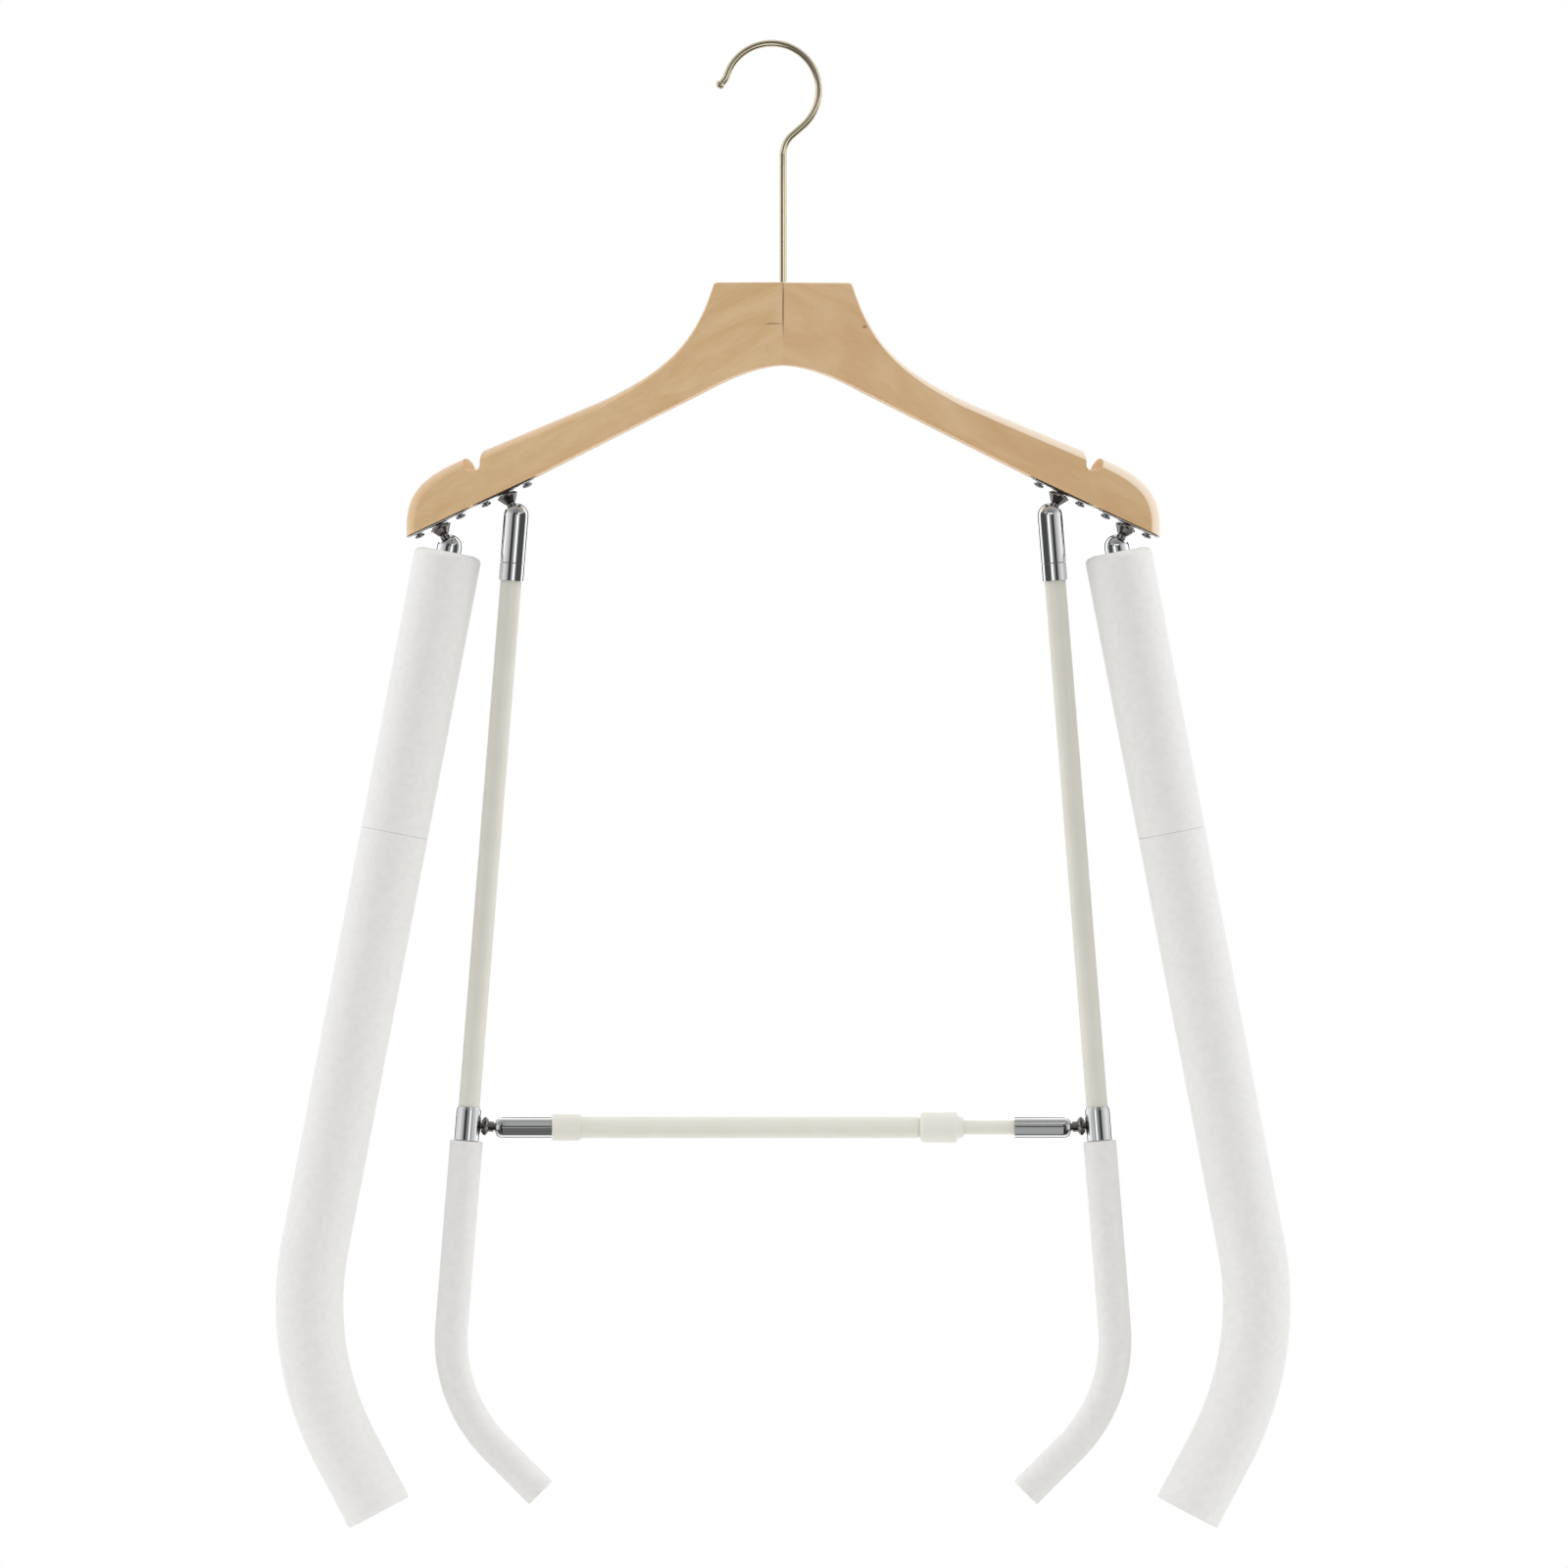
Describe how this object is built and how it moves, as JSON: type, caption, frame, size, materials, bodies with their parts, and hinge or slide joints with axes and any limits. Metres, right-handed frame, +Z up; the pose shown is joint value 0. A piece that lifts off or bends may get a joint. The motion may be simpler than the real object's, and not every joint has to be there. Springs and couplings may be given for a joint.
{
  "type": "dress form hanger",
  "caption": "Wooden hanger on a wire hook, with a ball-jointed torso frame, a telescopic waist bar and two posable foam arms that fill out a displayed dress.",
  "frame": {"origin": "the inside top of the hook, where the rail carries it, in the hook's own plane", "axes": "+X to the right seen from the front, +Y to the back, where the shoulders sweep, +Z up"},
  "size_m": [0.564, 0.0619, 0.8258],
  "materials": {
    "hook_wire": "satin nickel-plated steel wire",
    "bush_brass": "turned brass",
    "beech": "sanded beech under a clear matt lacquer",
    "chrome": "polished chrome plate",
    "steel_pin": "turned steel",
    "ivory_paint": "satin ivory powder coat",
    "ivory_plastic": "moulded ivory nylon, satin",
    "nylon": "natural nylon",
    "foam": "white closed-cell foam, matte"
  },
  "bodies": {
    "hook": {"hook": "hook_wire", "hook_retainer": "bush_brass"},
    "hanger": {"wood_left": "beech", "wood_right": "beech", "mitre_dowel": "beech", "hook_bush": "bush_brass", "torso_plate_left": "chrome", "torso_plate_right": "chrome", "torso_screw_outer_left": "chrome", "torso_screw_outer_right": "chrome", "torso_screw_inner_left": "chrome", "torso_screw_inner_right": "chrome", "torso_ball_stud_left": "chrome", "torso_ball_stud_right": "chrome", "arm_plate_left": "chrome", "arm_plate_right": "chrome", "arm_screw_outer_left": "chrome", "arm_screw_outer_right": "chrome", "arm_screw_inner_left": "chrome", "arm_screw_inner_right": "chrome", "arm_ball_stud_left": "chrome", "arm_ball_stud_right": "chrome"},
    "torso_cup_left": {"torso_friction_cup_left": "nylon"},
    "torso_bar_left": {"torso_ball_cap_left": "chrome", "torso_ferrule_left": "chrome", "torso_tube_left": "ivory_paint", "waist_collar_left": "chrome", "crossbar_stud_left": "chrome", "hip_foam_left": "foam"},
    "arm_cup_left": {"arm_friction_cup_left": "nylon"},
    "upper_arm_left": {"arm_ball_cap_left": "chrome", "arm_ferrule_left": "chrome", "upper_arm_foam_left": "foam", "upper_arm_tube_left": "ivory_paint", "elbow_pin_left": "steel_pin"},
    "forearm_left": {"forearm_foam_left": "foam", "forearm_tube_left": "ivory_paint"},
    "torso_cup_right": {"torso_friction_cup_right": "nylon"},
    "torso_bar_right": {"torso_ball_cap_right": "chrome", "torso_ferrule_right": "chrome", "torso_tube_right": "ivory_paint", "waist_collar_right": "chrome", "crossbar_stud_right": "chrome", "hip_foam_right": "foam"},
    "arm_cup_right": {"arm_friction_cup_right": "nylon"},
    "upper_arm_right": {"arm_ball_cap_right": "chrome", "arm_ferrule_right": "chrome", "upper_arm_foam_right": "foam", "upper_arm_tube_right": "ivory_paint", "elbow_pin_right": "steel_pin"},
    "forearm_right": {"forearm_foam_right": "foam", "forearm_tube_right": "ivory_paint"},
    "crossbar_outer": {"crossbar_barrel_left": "chrome", "crossbar_end_cap": "ivory_plastic", "crossbar_outer_tube": "ivory_paint"},
    "crossbar_lock": {"crossbar_lock_collar": "ivory_plastic"},
    "crossbar_inner": {"crossbar_inner_tube": "ivory_paint", "crossbar_guide_plug": "nylon", "crossbar_barrel_right": "chrome"}
  },
  "joints": [
    {"name": "hook_swivel", "type": "hinge", "parent": "hook", "child": "hanger", "pos_m": [0.00639, 0, -0.1305], "axis": [0, 0, 1], "continuous": true},
    {"name": "torso_swing", "type": "hinge", "parent": "hanger", "child": "torso_cup_left", "pos_m": [-0.14186, 0.02882, -0.25937], "axis": [1, 0, 0], "range_deg": [-25, 25]},
    {"name": "torso_swing_right", "type": "hinge", "parent": "hanger", "child": "torso_cup_right", "pos_m": [0.15464, 0.02882, -0.25937], "axis": [1, 0, 0], "range_deg": [-25, 25]},
    {"name": "waist_spread", "type": "hinge", "parent": "torso_cup_left", "child": "torso_bar_left", "pos_m": [-0.14186, 0.02882, -0.25937], "axis": [0, 1, 0], "range_deg": [-2.2, 4]},
    {"name": "waist_spread_right", "type": "hinge", "parent": "torso_cup_right", "child": "torso_bar_right", "pos_m": [0.15464, 0.02882, -0.25937], "axis": [0, -1, 0], "range_deg": [-2.2, 4]},
    {"name": "crossbar_tilt", "type": "hinge", "parent": "torso_bar_left", "child": "crossbar_outer", "pos_m": [-0.15015, 0.02882, -0.59927], "axis": [0, -1, 0], "range_deg": [-2.2, 4]},
    {"name": "crossbar_extend", "type": "slide", "parent": "crossbar_outer", "child": "crossbar_inner", "axis": [1, 0, 0], "range_m": [-0.0266, 0.0479]},
    {"name": "lock_twist", "type": "hinge", "parent": "crossbar_outer", "child": "crossbar_lock", "pos_m": [0.00639, 0.02882, -0.59927], "axis": [1, 0, 0], "range_deg": [0, 60]},
    {"name": "arm_swing_left", "type": "hinge", "parent": "hanger", "child": "arm_cup_left", "pos_m": [-0.17899, 0.03603, -0.27669], "axis": [1, 0, 0], "range_deg": [-45, 28]},
    {"name": "arm_lift_left", "type": "hinge", "parent": "arm_cup_left", "child": "upper_arm_left", "pos_m": [-0.17899, 0.03603, -0.27669], "axis": [0, 1, 0], "range_deg": [-2, 7]},
    {"name": "elbow_turn_left", "type": "hinge", "parent": "upper_arm_left", "child": "forearm_left", "pos_m": [-0.20961, 0.03603, -0.43567], "axis": [-0.1891, 0, -0.982], "range_deg": [-90, 90]},
    {"name": "arm_swing_right", "type": "hinge", "parent": "hanger", "child": "arm_cup_right", "pos_m": [0.19177, 0.03603, -0.27669], "axis": [1, 0, 0], "range_deg": [-45, 28]},
    {"name": "arm_lift_right", "type": "hinge", "parent": "arm_cup_right", "child": "upper_arm_right", "pos_m": [0.19177, 0.03603, -0.27669], "axis": [0, -1, 0], "range_deg": [-2, 7]},
    {"name": "elbow_turn_right", "type": "hinge", "parent": "upper_arm_right", "child": "forearm_right", "pos_m": [0.22239, 0.03603, -0.43567], "axis": [-0.1891, 0, 0.982], "range_deg": [-90, 90]}
  ],
  "couplings": [
    {"joint": "torso_swing_right", "follows": "torso_swing", "ratio": 1},
    {"joint": "waist_spread_right", "follows": "waist_spread", "ratio": 1},
    {"joint": "crossbar_tilt", "follows": "waist_spread", "ratio": 1},
    {"joint": "crossbar_extend", "follows": "waist_spread", "m_per_rad": 0.67946}
  ]
}
